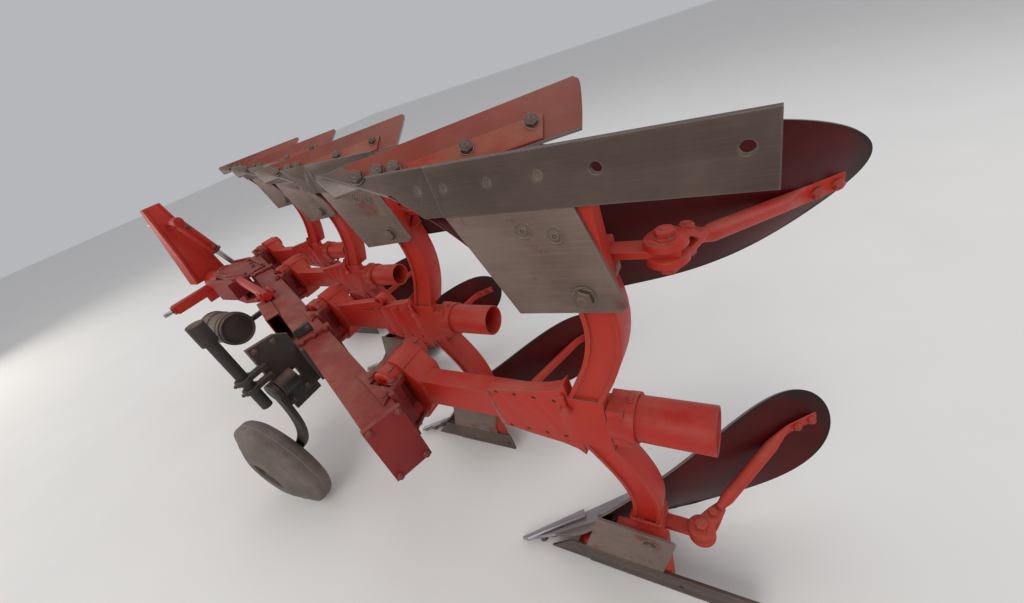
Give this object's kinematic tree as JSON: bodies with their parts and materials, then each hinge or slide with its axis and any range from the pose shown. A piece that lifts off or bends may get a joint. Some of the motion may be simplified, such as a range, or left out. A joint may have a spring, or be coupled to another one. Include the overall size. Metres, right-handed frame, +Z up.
{
  "type": "mounted reversible moldboard plough",
  "caption": "Mounted reversible moldboard plough with paired bodies on a diagonal beam, spring tube legs, long rear landsides, a swinging depth wheel and a turnover headstock.",
  "frame": {"origin": "on the ground at the middle of the plough's bounding box", "axes": "+X forward in the direction of travel, +Y to the left, the landside of the lower bodies, +Z up"},
  "size_m": [4.9344, 2.157, 1.7602],
  "materials": {
    "paint": "red-orange paint, weathered",
    "shade_paint": "red paint, dull",
    "steel": "worn wearing steel",
    "bright": "machined steel",
    "dark_iron": "dark painted iron",
    "tyre": "smooth worn rubber"
  },
  "bodies": {
    "headstock": {"headstock_tower": "paint", "crossbar": "paint", "lower_link_pins": "bright", "top_link_pin": "bright", "turnover_housing": "paint", "turnover_barrel": "paint", "turnover_rod": "bright"},
    "frame": {"turnover_shaft": "bright", "turnover_yoke": "shade_paint", "align_strut": "paint", "main_beam": "shade_paint", "beam_end_plate": "shade_paint", "beam_flanges": "shade_paint", "beam_sleeve": "shade_paint", "arm_brackets": "shade_paint", "pivot_bars": "paint", "arms": "paint", "doubler_plates": "paint", "link_bar": "paint", "tube_sleeves": "shade_paint", "spring_tubes": "paint", "upper_legs": "paint", "lower_legs": "paint", "upper_frogs": "paint", "lower_frogs": "paint", "upper_frog_plates": "steel", "lower_frog_plates": "steel", "upper_shares": "steel", "lower_shares": "steel", "upper_points": "steel", "lower_points": "steel", "upper_moldboards": "steel", "lower_moldboards": "steel", "upper_landsides": "steel", "lower_landsides": "steel", "upper_rear_landsides": "steel", "lower_rear_landsides": "steel", "upper_stays": "paint", "lower_stays": "paint", "wheel_bracket": "dark_iron", "wheel_stalk": "dark_iron", "canister": "dark_iron"},
    "wheel_arm": {"wheel_arm": "dark_iron"},
    "depth_wheel": {"wheel_hub": "steel", "wheel_tyre": "tyre"}
  },
  "joints": [
    {"name": "turnover", "type": "hinge", "parent": "headstock", "child": "frame", "pos_m": [2.1431, -0.095, 0.88], "axis": [-1, 0, 0], "range_deg": [0, 180]},
    {"name": "wheel_arm_swing", "type": "hinge", "parent": "frame", "child": "wheel_arm", "pos_m": [-0.2869, 0.987, 0.88], "axis": [0, -1, 0], "range_deg": [0, 107]},
    {"name": "wheel_spin", "type": "hinge", "parent": "wheel_arm", "child": "depth_wheel", "pos_m": [0.1031, 0.987, 0.315], "axis": [0, 1, 0], "continuous": true}
  ]
}
